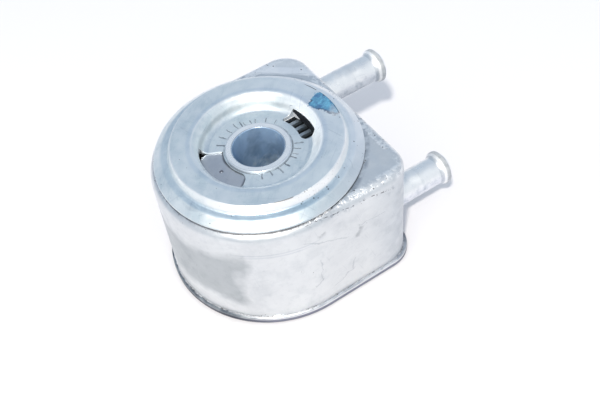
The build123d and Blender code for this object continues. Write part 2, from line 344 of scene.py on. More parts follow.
def can_sheet():
    made = Finish("can sheet", (0.745, 0.765, 0.775, 1), (0.67, 0.69, 0.705, 1), 0.30, 0.44, 22.0)
    tree = made.tree
    wall = tree.ramp(made.z, CAN_TOP - 5.8, CAN_TOP - 1.3, 1.0, 0.0)
    top = tree.ramp(made.z, CAN_TOP - 1.8, CAN_TOP - 0.6)
    half_width = CAN_RADIUS * MM
    near = tree.ramp(made.y, 9.9 - half_width, 6.9 - half_width)
    # a dull, darker patch on the round side
    behind, aside = tree.math("MULTIPLY", made.x, -1.0), tree.math("MULTIPLY", made.y, -1.0)
    back = tree.math("DEGREES", tree.math("ARCTAN2", aside, behind))
    around = tree.band(tree.shift(back, made.cloud, 60.0), -50.0, 44.0, 9.0)
    tall = tree.band(tree.shift(made.z, made.cloud, 34.0), 20.0, 50.0, 8.0)
    dull = tree.times(around, tall)
    made.shade(dull, (0.68, 0.70, 0.71, 1))
    made.roughen(dull, 0.08)
    # painted shade down the wall's corner towards the spigots
    corner = tree.times(tree.ramp(made.x, 26.0, 50.0), wall, tree.ramp(made.mottle, 0.3, 0.6, 0.75, 1.0))
    made.shade(corner, (0.74, 0.77, 0.81, 1))
    # soft mottling of the sheet
    blots = made.blots(75.0, 4.0, 0.65, 0.50, 0.66)
    made.shade(blots, (0.88, 0.89, 0.90, 1), 0.55)
    made.roughen(blots, 0.08)
    # painted highlight in brushed bands across the far corner of the top, painted shade on the flat top in
    # front of them
    brushed = made.streaks((34, 190, 190), 4.0, 0.65, turn=(0, 0, -0.7))
    beyond = tree.shift(tree.math("MULTIPLY_ADD", made.x, 0.85, made.y), brushed, 16.0)
    far_half = tree.ramp(made.y, 14.0, 24.0)
    distant = tree.times(tree.ramp(made.z, CAN_TOP - 7.8, CAN_TOP - 3.8), far_half)
    crest = tree.times(tree.ramp(beyond, 77.0, 80.0), distant, 0.6)
    made.tint(crest, CHALK)
    far_highlight = tree.times(tree.band(beyond, 75.5, 81.0, 2.5), distant)
    made.tint(far_highlight, WHITE, 0.95)
    rest_shade = tree.times(tree.ramp(beyond, 74.5, 72.0), top, far_half)
    made.shade(rest_shade, (0.88, 0.90, 0.93, 1), 0.7)
    # fine blots, drawing lines and the waves of the shoulder
    fine_blots = made.blots(260.0, 4.0, 0.7, 0.54, 0.66)
    made.shade(fine_blots, (0.86, 0.87, 0.88, 1), 0.4)
    draw = made.streaks((600, 600, 24), 3.0, 0.6)
    made.lift(tree.times(draw, wall), 0.08)
    made.lift(tree.noise(made.place, 55.0, 3.0), 1.5)
    waves = made.streaks((26, 26, 120))
    made.lift(tree.times(waves, tree.band(made.z, CAN_TOP - 15.8, CAN_TOP - 0.8, 4.0)), 7.0)
    # shallow beads left low on the shoulder, darkened with painted shade
    for height, start, end in SHOULDER_BEADS:
        bead = tree.times(tree.band(made.z, height - 0.2, height + 0.2, 0.5),
                          tree.band(made.angle, start, end, 9.0))
        made.lift(bead, -0.9)
        made.shade(bead, (0.80, 0.82, 0.86, 1), 0.6)
    # creases of the near wall, darkened with painted shade, and scuffs
    for start, end, width, wiggle in WALL_CREASES:
        crease = tree.times(made.line(start, end, width, wiggle), near)
        made.lift(crease, -0.7)
        made.shade(crease, (0.74, 0.755, 0.78, 1), 0.8)
    for start, end in WALL_SCUFFS:
        scuff = tree.times(made.line(start, end, 1.9, 7.0), tree.ramp(made.mottle, 0.36, 0.52), near)
        made.shade(scuff, (0.74, 0.75, 0.76, 1))
        made.roughen(scuff, 0.15)
    # dirt that runs from under the cap down along the shoulder
    fall = tree.math("MULTIPLY_ADD", tree.math("ADD", made.y, half_width), 1.18, made.z)
    dash = made.blots(560.0, 3.0, 0.7, 0.50, 0.56)
    for start, end in zip(DIRT_RUN, DIRT_RUN[1:]):
        row = tree.times(made.line(start, end, 0.42, 2.5, fall), near)
        made.tint(tree.times(dash, row), dirt(0.04), 0.92)
        spread = tree.times(made.line(start, end, 3.4, 4.0, fall), near)
        made.tint(tree.times(spread, made.specks(1.9, 0.5, 0.2)), dirt(0.10), 0.85)
        made.shade(tree.times(spread, fine_blots), (0.70, 0.72, 0.75, 1), 0.8)
    # painted shade with some grime in the crevice under the cap, a blotchy darker band beside the cap's
    # edge, pale flecks and dirt along the edges of the flat top
    crevice_shade_and_grime = tree.times(tree.band(made.radius, SEAT_OUTER + 0.2, CAP_EDGE - 0.3, 0.4), top,
                         tree.ramp(made.mottle, 0.3, 0.6, 0.6, 1.0))
    made.tint(crevice_shade_and_grime, (0.14, 0.14, 0.16, 1), 0.8)
    cap_edge_band = tree.times(tree.band(made.radius, CAP_EDGE + 0.1, CAP_EDGE + 1.5, 1.4), top,
                       tree.ramp(made.mottle, 0.42, 0.6))
    made.shade(cap_edge_band, (0.62, 0.65, 0.69, 1))
    rim = tree.math("MAXIMUM", tree.math("SUBTRACT", tree.math("ABSOLUTE", made.y), half_width),
                    tree.math("SUBTRACT", made.x, CAN_END * MM))
    edge = tree.times(tree.band(tree.shift(rim, made.cloud, 8.0), -6.6, -2.2, 0.8),
                      tree.ramp(made.z, CAN_TOP - 3.8, CAN_TOP - 2.3), tree.ramp(made.x, -12.0, 0.0))
    flecks = tree.times(edge, made.blots(330.0, 4.0, 0.65, 0.46, 0.56))
    made.tint(flecks, CHALK, 0.75)
    made.lift(flecks, 1.6)
    made.tint(tree.times(edge, made.specks(2.1, 0.7, 0.36)), dirt(0.05), 0.9)
    # painted shade, near black, inside the ports; small specks everywhere; blotchy darkening low on the
    # wall
    inside = tree.times(tree.ramp(made.radius, SEAT_OUTER - 0.3, SEAT_OUTER - 0.8),
                        tree.ramp(made.z, CAN_TOP - 5.8, CAN_TOP - 4.8))
    made.tint(inside, (0.02, 0.022, 0.026, 1), 0.95)
    made.tint(made.specks(6.5, 0.42, 0.22), dirt(0.10), 0.8)
    made.lift(made.specks(6.5, 0.6, 0.22), -0.8)
    low_darkening = tree.times(tree.ramp(made.z, RIM + 3.3, RIM - 0.2), tree.ramp(made.mottle, 0.4, 0.65))
    made.shade(low_darkening, (0.70, 0.72, 0.74, 1), 0.35)
    foot_dirt = tree.times(tree.band(made.z, RIM + 0.2, RIM + 1.8, 0.6), made.specks(1.5, 0.55, 0.3))
    made.tint(foot_dirt, dirt(0.09), 0.85)
    made.wear(0.22)
    return made.close()


def cap_metal():
    made = Finish("cap metal", (0.88, 0.92, 0.915, 1), (0.75, 0.81, 0.83, 1), 0.30, 0.46, 30.0)
    tree = made.tree
    # turning marks
    ring_lines = made.rings(3.2, 3.0, 0.7)
    made.lift(ring_lines, 0.10)
    made.shade(tree.ramp(ring_lines, 0.55, 0.7), (0.88, 0.90, 0.92, 1), 0.4)
    # cloudy stains of the flat rings
    blots = made.blots(62.0, 5.0, 0.68, 0.48, 0.62)
    made.shade(blots, (0.80, 0.85, 0.88, 1), 0.8)
    smears = made.streaks((70, 260, 260), 4.0, 0.7, turn=(0, 0, 0.8))
    made.shade(tree.ramp(smears, 0.54, 0.66), (0.82, 0.86, 0.88, 1), 0.5)
    made.lift(tree.noise(made.place, 60.0, 3.0), 1.2)
    made.roughen(blots, 0.08)
    bloom = made.blots(48.0, 5.0, 0.7, 0.56, 0.68)
    made.tint(bloom, (0.93, 0.945, 0.94, 1), 0.45)
    # paler bands along the seat's inner and outer edges
    for radius in (SEAT_INNER + 0.5, SEAT_OUTER - 0.2):
        rim = tree.times(tree.band(made.radius, radius - 0.25, radius + 0.2, 0.3),
                         tree.band(made.z, SEAT_TOP - 0.9, SEAT_TOP + 0.5, 0.2))
        made.tint(rim, (0.95, 0.955, 0.95, 1), 0.6)
    # painted highlight on the slope away from the far side and on the seat and outer rings to the right,
    # painted shade on the rim in front
    off_floor = tree.ramp(made.z, FLOOR_TOP + 0.4, FLOOR_TOP + 1.1)
    slope = tree.times(tree.band(made.radius, FLOOR_EDGE + 1.0, SEAT_INNER - 0.1, 0.5), off_floor)
    side = tree.ramp(made.y, 18.0, 6.0)
    made.tint(tree.times(slope, side), COOL_WHITE, 0.7)
    outside = tree.ramp(made.radius, STEP_FOOT - 0.5, STEP_FOOT + 1.5)
    made.tint(tree.times(outside, tree.ramp(made.x, 16.0, 34.0)), WHITE, 0.8)
    ring = tree.band(made.radius, SEAT_INNER + 0.5, SEAT_OUTER + 0.2, 1.0)
    made.tint(tree.times(ring, tree.ramp(made.x, 14.0, 32.0)), COOL_WHITE, 0.4)
    shoulder = tree.ramp(made.radius, LEDGE_EDGE - 0.2, LEDGE_EDGE + 0.8)
    made.shade(tree.times(shoulder, tree.ramp(made.y, -26.0, -40.0)), (0.77, 0.80, 0.83, 1), 0.9)
    # painted shade in soft bands in the middle of the slope and on the seat's inner edge
    soft = tree.shift(made.radius, made.cloud, 2.4)
    waist = tree.times(tree.band(soft, FLOOR_EDGE + 2.0, FLOOR_EDGE + 2.6, 0.9), off_floor,
                       tree.ramp(made.y, 2.0, 14.0))
    made.shade(waist, (0.66, 0.68, 0.69, 1), 0.9)
    brink = tree.times(tree.band(soft, SEAT_INNER + 1.5, SEAT_INNER + 2.5, 1.1),
                       tree.ramp(made.z, SEAT_TOP - 0.7, SEAT_TOP - 0.2))
    made.shade(brink, (0.84, 0.88, 0.94, 1), 0.7)
    # dark lines along the seat's outer edge, nicks and dirt on the step and the rim
    for start, end, low, high in SEAT_LINES:
        rub = tree.times(tree.band(made.radius, low, high, 0.2), tree.band(made.angle, start, end, 3.0))
        made.tint(tree.times(rub, tree.ramp(made.mottle, 0.34, 0.46)), (0.04, 0.04, 0.045, 1), 0.9)
    for low, high, start, end, cell, size, share in CAP_NICKS:
        zone = tree.times(tree.band(made.radius, low, high, 0.5), tree.band(made.angle, start, end, 4.0))
        made.tint(tree.times(zone, made.specks(cell, size, share)), dirt(0.07), 0.88)
    made.tint(made.specks(4.6, 0.36, 0.38), dirt(0.12), 0.8)
    made.lift(made.specks(4.6, 0.55, 0.38), -0.9)
    # creases round the flare of the sleeve, darkened with painted shade, and a ring of painted shade at the
    # foot of the flare
    chance = Random(8)
    on_floor = tree.ramp(made.z, FLOOR_TOP + 2.1, FLOOR_TOP + 1.3)
    bent = tree.shift(made.angle, tree.noise(made.place, 420.0, 3.0, 0.7), 5.0)
    for angle in FLARE_CREASES:
        width = chance.uniform(0.8, 1.8)
        start = chance.uniform(LIP + 0.3, LIP + 1.3)
        end = start + chance.uniform(2.0, 4.6)
        mark = tree.math("ABSOLUTE", tree.math("SUBTRACT", bent, angle + chance.uniform(-1.5, 1.5)))
        mark = tree.times(tree.ramp(mark, width, 0.3 * width), tree.band(made.radius, start, end, 0.5),
                          on_floor)
        made.tint(mark, CREASE_SHADE, chance.uniform(0.55, 1.0))
        made.lift(mark, -1.6)
    collar = tree.times(tree.band(made.radius, LIP - 0.1, LIP + 0.4, 0.4), on_floor)
    made.tint(tree.times(collar, tree.ramp(made.mottle, 0.35, 0.55)), CREASE_SHADE, 0.7)
    # a darker ring in the corner of the floor, painted shade in the trough by the step, a painted highlight
    # on the step's wall in front, and painted shade with some grime under the rim
    corner = tree.times(tree.band(made.radius, FLOOR_EDGE - 1.0, FLOOR_EDGE + 1.0, 0.8),
                        tree.ramp(made.z, FLOOR_TOP + 2.1, FLOOR_TOP + 0.1))
    made.shade(tree.times(corner, tree.ramp(made.mottle, 0.35, 0.6)), (0.66, 0.71, 0.78, 1), 0.7)
    trough_shade = tree.times(tree.band(made.radius, STEP_FOOT + 0.3, LEDGE_EDGE - 0.3, 0.8),
                        tree.ramp(made.z, SEAT_TOP - 2.5, SEAT_TOP - 3.5),
                        tree.ramp(made.y, 10.0, -15.0, 0.5, 1.0), tree.ramp(made.x, 2.0, 26.0, 1.0, 0.3))
    made.shade(trough_shade, (0.72, 0.80, 0.87, 1), 0.9)
    made.shade(tree.times(trough_shade, tree.ramp(made.y, -24.0, -40.0)), (0.80, 0.85, 0.89, 1))
    wall = tree.times(tree.band(made.radius, SEAT_OUTER + 0.1, STEP_FOOT - 0.3, 0.3),
                      tree.ramp(made.y, -8.0, -28.0))
    made.tint(wall, (1.0, 0.995, 0.98, 1), 0.8)
    under = tree.times(tree.ramp(made.z, CAP_FOOT + 0.45, CAP_FOOT + 0.2),
                       tree.ramp(made.radius, LEDGE_EDGE + 0.3, LEDGE_EDGE + 1.3))
    made.tint(under, (0.26, 0.26, 0.29, 1), 0.6)
    made.wear(0.55)
    # blue paint dab, thicker and darker at its edge
    dab = made.patch(DAB_CORNERS, 5.6)
    cover = tree.times(tree.ramp(dab, -1.1, -0.4), tree.ramp(made.z, SEAT_TOP - 1.1, SEAT_TOP - 0.7))
    streaks = tree.ramp(made.streaks((230, 520, 300), 5.0, 0.75, turn=(0, 0, 0.5)), 0.36, 0.62)
    paint = tree.mix(streaks, (0.010, 0.12, 0.26, 1), (0.09, 0.34, 0.52, 1))
    flakes = made.blots(620.0, 4.0, 0.75, 0.52, 0.60)
    paint = tree.mix(tree.math("MULTIPLY", flakes, 0.85), paint, (0.010, 0.10, 0.26, 1))
    dark = tree.times(tree.band(dab, -1.0, 0.3, 0.6), tree.ramp(made.mottle, 0.40, 0.54))
    paint = tree.mix(dark, paint, (0.006, 0.045, 0.12, 1))
    thin = tree.ramp(tree.math("MULTIPLY_ADD", made.mottle, 14.0, made.y), -5.0, 3.0, 0.25, 0.95)
    cover = tree.times(cover, thin)
    made.tint(cover, paint)
    made.lift(cover, 0.6)
    chalky = tree.times(slope, side, tree.ramp(made.x, -6.0, 12.0))
    made.metal(tree.times(tree.ramp(cover, 0.0, 1.0, 1.0, 0.1), tree.ramp(chalky, 0.0, 1.0, 1.0, 0.55)))
    return made.close()


def sleeve_metal():
    made = Finish("sleeve metal", (0.88, 0.90, 0.91, 1), (0.78, 0.81, 0.84, 1), 0.22, 0.38)
    tree = made.tree
    # the bore: a painted blue reflection of the sky, a painted sheen, darker streaks and blots, and painted
    # light towards its mouth
    inner = tree.ramp(made.radius, BORE + 0.3, BORE + 0.1)
    made.shade(inner, (0.40, 0.57, 0.76, 1))
    made.metal(tree.ramp(inner, 0.0, 1.0, 0.8, 0.35))
    streak = made.streaks((90, 90, 26), 3.0, 0.6)
    made.shade(tree.times(tree.ramp(streak, 0.40, 0.66), inner), (0.52, 0.62, 0.72, 1), 0.7)
    gleam = made.streaks((110, 110, 34), 4.0, 0.65, turn=(0.5, 0.2, 0))
    made.tint(tree.times(tree.ramp(gleam, 0.52, 0.62), inner), (0.50, 0.64, 0.76, 1), 0.75)
    blot = made.streaks((95, 95, 50), 3.0, 0.5, turn=(0.3, 0.6, 0))
    made.shade(tree.times(tree.ramp(blot, 0.50, 0.62), inner), (0.40, 0.45, 0.50, 1), 0.7)
    mouth_highlight = tree.times(tree.ramp(made.z, FLOOR_TOP - 16.9, FLOOR_TOP - 3.9),
                       tree.ramp(made.mottle, 0.66, 0.34, 0.5, 1.0), inner)
    made.tint(mouth_highlight, (0.52, 0.70, 0.90, 1), 0.45)
    made.roughen(inner, 0.2)
    turned = made.streaks((20, 20, 2600))
    made.lift(tree.times(turned, inner), 0.2)
    # the lip: turned rings, painted shade on its inner edge, a grey outer edge with a thin line of painted
    # shade inside it
    made.lift(made.rings(4.0), 0.12)
    throat = tree.band(made.radius, BORE + 0.25, BORE + 0.55, 0.15)
    made.shade(throat, (0.36, 0.43, 0.51, 1), 0.85)
    flare = tree.ramp(made.z, FLOOR_TOP - 1.9, FLOOR_TOP - 0.9)
    edge = tree.times(tree.ramp(made.radius, LIP - 0.75, LIP - 0.5), flare)
    made.shade(edge, (0.74, 0.79, 0.84, 1), 0.9)
    edge_line_shade = tree.times(tree.band(made.radius, LIP - 0.8, LIP - 0.65, 0.12), flare,
                       tree.ramp(made.mottle, 0.40, 0.56))
    made.tint(edge_line_shade, (0.30, 0.34, 0.40, 1), 0.6)
    made.tint(made.specks(3.4, 0.3, 0.25), (0.12, 0.13, 0.15, 1), 0.7)
    made.wear(0.4)
    return made.close()


def base_metal():
    made = Finish("base metal", (0.76, 0.775, 0.79, 1), (0.68, 0.695, 0.72, 1), 0.28, 0.44)
    tree = made.tree
    # painted shade below the rim and at both ends, dirty along the can's foot
    foot = tree.ramp(made.z, RIM - 1.1, RIM - 1.8)
    made.tint(foot, (0.17, 0.185, 0.25, 1), 0.92)
    left_end_shade = tree.times(tree.ramp(made.x, -30.0, -46.0), tree.ramp(made.mottle, 0.3, 0.6, 0.7, 1.0))
    made.shade(left_end_shade, (0.26, 0.29, 0.31, 1))
    right_end_shade = tree.times(tree.ramp(made.x, 46.0, 56.0), tree.ramp(made.mottle, 0.3, 0.6, 0.6, 1.0))
    made.shade(right_end_shade, (0.42, 0.44, 0.46, 1))
    groove = tree.times(tree.band(made.z, RIM - 0.5, RIM + 0.1, 0.2), tree.ramp(made.mottle, 0.42, 0.58))
    made.shade(groove, (0.66, 0.68, 0.72, 1))
    under = tree.ramp(made.z, 0.3, 0.1)
    made.lift(tree.times(made.rings(2.4, 3.0, 0.7), under), 0.4)
    made.tint(made.specks(3.2, 0.32, 0.3), dirt(0.08), 0.85)
    made.wear(0.5)
    return made.close()


def spigot_metal():
    made = Finish("spigot metal", (0.93, 0.94, 0.935, 1), (0.84, 0.85, 0.855, 1), 0.24, 0.42, 70.0)
    tree = made.tree
    blots = made.blots(240.0, 4.0, 0.7, 0.46, 0.62)
    made.shade(blots, (0.82, 0.84, 0.86, 1), 0.7)
    made.roughen(blots, 0.14)
    made.lift(tree.noise(made.place, 190.0, 3.0, 0.6), 1.6)
    along = made.streaks((60, 700, 700), 3.0, 0.6)
    made.lift(along, 0.12)
    wall = CAN_END * MM
    foot = tree.times(tree.ramp(made.x, wall + 5.7, wall + 1.2), tree.ramp(made.mottle, 0.38, 0.56))
    made.shade(foot, (0.70, 0.72, 0.72, 1))
    made.roughen(foot, 0.2)
    # a faint mark where a clip sat
    clamp = tree.times(tree.band(made.x, *CLIP_MARK, 0.6), tree.ramp(made.mottle, 0.4, 0.6))
    made.shade(clamp, (0.80, 0.82, 0.84, 1))
    for side, height, crest in (UPPER_SPIGOT, LOWER_SPIGOT):
        crest *= MM
        aside = tree.math("SUBTRACT", made.y, side * MM)
        above = tree.math("SUBTRACT", made.z, height * MM)
        out = tree.away(aside, above)
        here = tree.ramp(out, TUBE + 8.0, TUBE + 6.0)
        # the tube: painted shade below, painted highlight above and along its crown
        own = tree.times(tree.ramp(out, TUBE - 0.7, TUBE - 0.4), here)
        across = tree.math("MULTIPLY_ADD", aside, 0.75, tree.math("MULTIPLY", above, 0.66))
        across = tree.shift(across, made.mottle, 3.0)
        flank_shade = tree.times(tree.ramp(across, -2.2, -5.4), own,
                           tree.ramp(out, TUBE + 1.0, TUBE + 0.3, 0.35, 1.0))
        own = tree.times(own, tree.ramp(out, TUBE + 0.7, TUBE + 0.2))
        made.shade(flank_shade, (0.72, 0.75, 0.80, 1) if side > 0 else (0.90, 0.91, 0.96, 1))
        made.roughen(flank_shade, 0.25)
        made.tint(tree.times(tree.ramp(across, 2.0, 5.0), own), WARM_WHITE, 0.4)
        crown_highlight = tree.times(tree.band(across, -2.6, 1.6, 1.6), own)
        made.tint(crown_highlight, WARM_WHITE, 0.4)
        # the bead: painted shade on its grey lip and dull heel, a painted highlight on its white back
        bead = tree.times(tree.ramp(out, TUBE + 0.2, TUBE + 0.8), here)
        lip_shade = tree.times(bead, tree.ramp(made.x, crest - 1.9, crest - 1.2))
        made.shade(lip_shade, (0.74, 0.75, 0.76, 1))
        made.roughen(lip_shade, 0.5)
        back = tree.times(bead, tree.ramp(made.x, crest - 1.2, crest - 1.9))
        made.tint(back, WHITE, 0.4)
        made.roughen(back, 0.3)
        heel_shade = tree.times(tree.band(made.x, crest - 4.6, crest - 3.1, 0.5),
                          tree.ramp(out, TUBE - 0.4, TUBE - 0.1), here)
        made.shade(heel_shade, (0.78, 0.80, 0.82, 1))
        # painted shade inside the tube's bore
        made.shade(tree.ramp(out, TUBE_BORE + 0.25, TUBE_BORE + 0.05), (0.42, 0.44, 0.47, 1))
    made.tint(made.specks(3.6, 0.36, 0.24), dirt(0.14), 0.75)
    made.wear(0.35, ((0.1, 0.3, 0.9), (0.0, 0.0, 1.5), (0.4, 1.1, 0.3)))
    return made.close()


def blank_metal():
    made = Finish("blank metal", (0.53, 0.565, 0.61, 1), (0.44, 0.475, 0.53, 1), 0.44, 0.58, 55.0)
    tree = made.tree
    made.lift(tree.noise(made.place, 640.0, 3.0, 0.6), 0.35)
    blots = made.blots(120.0, 4.0, 0.7, 0.5, 0.62)
    made.shade(blots, (0.84, 0.86, 0.90, 1), 0.5)
    # darker, ragged bands along its long edges and at its far end
    ragged = tree.shift(made.radius, made.mottle, 1.6)
    rim = tree.math("MAXIMUM", tree.ramp(ragged, BLANK_OUTER, BLANK_OUTER + 0.5),
                    tree.ramp(ragged, BLANK_INNER, BLANK_INNER - 0.6))
    around = tree.math("MULTIPLY_ADD", made.mottle, 5.0, made.angle)
    end = tree.times(tree.ramp(around, BLANK_END, BLANK_END + 1.8), tree.ramp(made.y, -8.0, -10.0))
    made.tint(tree.math("MAXIMUM", rim, end), (0.10, 0.11, 0.13, 1), 0.75)
    # the dimple: a ring of painted shade round a painted highlight in its middle
    out = tree.away(tree.math("SUBTRACT", made.x, DIMPLE[0]), tree.math("SUBTRACT", made.y, DIMPLE[1]))
    made.tint(tree.band(out, 0.6, 0.95, 0.2), (0.16, 0.17, 0.21, 1), 0.75)
    made.tint(tree.ramp(out, 0.5, 0.3), (0.95, 0.96, 0.97, 1), 0.9)
    made.tint(made.specks(2.6, 0.28, 0.25), (0.10, 0.10, 0.12, 1), 0.7)
    made.wear(0.45)
    return made.close()


def plate_sheet():
    made = Finish("plate sheet", (0.16, 0.165, 0.18, 1), (0.09, 0.095, 0.105, 1), 0.42, 0.60, 50.0)
    made.shade(made.blots(120.0, 4.0, 0.7, 0.45, 0.62), (0.45, 0.44, 0.42, 1))
    made.wear(0.3)
    return made.close()


def fin_metal():
    made = Finish("fin metal", (0.56, 0.65, 0.73, 1), (0.40, 0.48, 0.54, 1), 0.40, 0.55, 150.0)
    tree = made.tree
    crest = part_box("fin_sheet_8")[1][2] * MM
    # painted shade, near black, deep between the fins
    deep_shade = tree.ramp(made.z, crest - 1.4, crest - 2.6)
    made.tint(deep_shade, (0.008, 0.010, 0.012, 1), 0.97)
    # painted highlight along the fins' crests
    crest_highlight = tree.times(tree.band(made.z, crest - 0.3, crest - 0.12, 0.1), tree.ramp(made.mottle, 0.4, 0.56))
    made.tint(crest_highlight, (0.85, 0.88, 0.90, 1), 0.8)
    made.shade(tree.ramp(made.mottle, 0.44, 0.6), (0.58, 0.60, 0.63, 1), 0.5)
    made.wear(0.4)
    return made.close()


def braze_flux():
    """Grey flux and braze metal left in the seams."""
    made = Finish("braze flux", (0.68, 0.69, 0.71, 1), (0.44, 0.45, 0.47, 1), 0.42, 0.6, 240.0)
    tree = made.tree
    crust = tree.noise(made.place, 900.0, 4.0, 0.7)
    made.lift(crust, 1.2)
    made.tint(tree.ramp(crust, 0.54, 0.62), dirt(0.10))
    made.metal(0.55)
    return made.close()


def flux_grit():
    """Dark burnt specks of flux."""
    made = Finish("flux grit", (0.07, 0.07, 0.075, 1), (0.16, 0.155, 0.15, 1), 0.55, 0.8, 900.0)
    made.lift(made.tree.noise(made.place, 2600.0, 3.0), 0.8)
    made.metal(0.2)
    return made.close()


def shaded_edge():
    """The cut edge below the slope, painted black as shade."""
    made = Finish("shaded edge", (0.010, 0.012, 0.016, 1), (0.018, 0.021, 0.026, 1), 0.5, 0.7, 400.0)
    tree = made.tree
    # painted light: a pale face low on the flat side, where the lamp falls
    level = tree.math("MULTIPLY_ADD", made.angle, -0.34, made.z)
    pale = tree.times(tree.ramp(made.angle, 11.0, 12.0), tree.ramp(level, 68.3, 67.9))
    made.tint(pale, (0.62, 0.65, 0.68, 1), 0.9)
    made.metal(0.0)
    made.shader.inputs["Specular IOR Level"].default_value = 0.15
    return made.close()


def sheared_edge():
    """The cut edge of the cap's sheet, matt and pale."""
    made = Finish("sheared edge", (0.56, 0.61, 0.66, 1), (0.40, 0.45, 0.50, 1), 0.55, 0.7, 300.0)
    tree = made.tree
    drag = made.streaks((900, 900, 90), 3.0, 0.7)
    made.lift(drag, 0.5)
    made.shade(tree.ramp(drag, 0.5, 0.62), (0.66, 0.68, 0.70, 1), 0.6)
    # painted highlight along the burr at the sheet's underside
    underside = SHEET_UNDERSIDE * MM
    burr = tree.ramp(made.z, underside + 0.65, underside + 0.55)
    made.tint(burr, (0.97, 0.98, 0.99, 1), 0.95)
    made.metal(0.15)
    return made.close()


def dress(names, material):
    """Give CAD nodes their finish."""
    for name in names:
        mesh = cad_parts[name].data
        mesh.materials.clear()
        mesh.materials.append(material)


def numbered(stem):
    return [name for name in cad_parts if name.startswith(stem)]


def put_finishes():
    dress(["housing_can"], can_sheet())
    dress(["filter_seat_cap"], cap_metal())
    dress(["centre_sleeve"], sleeve_metal())
    dress(["base_plate"], base_metal())
    dress(["upper_hose_spigot", "lower_hose_spigot"], spigot_metal())
    dress(["port_blanking_plate"], blank_metal())
    dress(numbered("lower_plate") + numbered("upper_plate") + numbered("hub_ring"), plate_sheet())
    dress(numbered("fin_sheet"), fin_metal())


def can_outline(grow, step):
    """Places round the can's wall and the way out from each, at a distance from the wall."""
    flat = CAN_RADIUS - CAN_CORNER
    reach = CAN_END - CAN_CORNER
    places = []

    def run(x0, y0, x1, y1, out):
        count = max(1, round(hypot(x1 - x0, y1 - y0) / step))
        for index in range(count):
            share = index / count
            places.append(((x0 + (x1 - x0) * share, y0 + (y1 - y0) * share), out))

    def arc(cx, cy, radius, first, last):
        count = max(1, round(radius * radians(last - first) / step))
        for index in range(count):
            turn = radians(first + (last - first) * index / count)
            out = (cos(turn), sin(turn))
            places.append(((cx + radius * out[0], cy + radius * out[1]), out))

    run(0.0, -CAN_RADIUS - grow, reach, -CAN_RADIUS - grow, (0, -1))
    arc(reach, -flat, CAN_CORNER + grow, -90, 0)
    run(CAN_END + grow, -flat, CAN_END + grow, flat, (1, 0))
    arc(reach, flat, CAN_CORNER + grow, 0, 90)
    run(reach, CAN_RADIUS + grow, 0.0, CAN_RADIUS + grow, (0, 1))
    arc(0.0, 0.0, CAN_RADIUS + grow, 90, 270)
    return places


def skin(name, loops, ring=True):
    """A closed skin over loops of places, joined in a ring or closed at its two ends."""
    count = len(loops[0])
    faces = []
    for index in range(len(loops) if ring else len(loops) - 1):
        after = (index + 1) % len(loops)
        for corner in range(count):
            beside = (corner + 1) % count
            faces.append((index * count + corner, after * count + corner, after * count + beside,
                          index * count + beside))
    if not ring:
        faces += [tuple(range(count)), tuple(range((len(loops) - 1) * count, len(loops) * count))]
    mesh = bpy.data.meshes.new(name)
    mesh.from_pydata([place for loop in loops for place in loop], [], faces)
    work = bmesh.new()
    work.from_mesh(mesh)
    bmesh.ops.recalc_face_normals(work, faces=work.faces)
    work.to_mesh(mesh)
    work.free()
    mesh.shade_smooth()
    return mesh


def add_piece(name, mesh, material):
    mesh.materials.clear()
    mesh.materials.append(material)
    piece = bpy.data.objects.new(name, mesh)
    bpy.context.scene.collection.objects.link(piece)
    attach(piece, "root")
    return piece


def uneven(chance, count, waves):
    """A closed run of numbers that wanders smoothly between about minus one and one."""
    parts = []
    for _ in range(12):
        parts.append((chance.randint(2, waves), chance.uniform(0, 2 * pi), chance.uniform(0.3, 1.0)))
    total = sum(size for _, _, size in parts) * 0.45
    run = []
    for index in range(count):
        turn = 2 * pi * index / count
        run.append(sum(size * sin(turn * turns + phase) for turns, phase, size in parts) / total)
    return run


def foot_seam(flux):
    """The braze between the foot of the can and the rim of the base."""
    chance = Random(11)
    thick, sway, corners = 0.00026, 0.00012, 8
    outline = can_outline(sway, 0.0005)
    width = uneven(chance, len(outline), 160)
    lift = uneven(chance, len(outline), 120)
    loops = []
    for ((x, y), (nx, ny)), wide, high in zip(outline, width, lift):
        size = thick * (1 + 0.45 * wide)
        rise = RIM_TOP - sway + sway * high
        loop = []
        for corner in range(corners):
            turn = 2 * pi * corner / corners
            out = size * cos(turn)
            loop.append((x + nx * out, y + ny * out, rise + 0.8 * size * sin(turn)))
        loops.append(loop)
    add_piece("foot_braze_seam", skin("foot_braze_seam", loops), flux)


def spigot_fillet(name, side, height, flux, seed):
    """The braze fillet where a hose spigot leaves the can."""
    count, steps, reach = 96, 6, 0.0011
    buried, behind = SPIGOT_RADIUS - 0.0003, CAN_END - 0.0002
    loops = []
    for index, wide in enumerate(uneven(Random(seed), count, 16)):
        turn = 2 * pi * index / count
        size = reach * (1 + 0.35 * wide)
        bends = [radians(90 * step / steps) for step in range(steps + 1)]
        cross = [(CAN_END + size * (1 - cos(bend)), SPIGOT_RADIUS + size * (1 - sin(bend)))
                 for bend in bends]
        cross += [(CAN_END + size * 0.3, buried), (behind, buried), (behind, SPIGOT_RADIUS + size * 0.8)]
        loops.append([(along, side + out * cos(turn), height + out * sin(turn)) for along, out in cross])
    add_piece(name, skin(name, loops), flux)


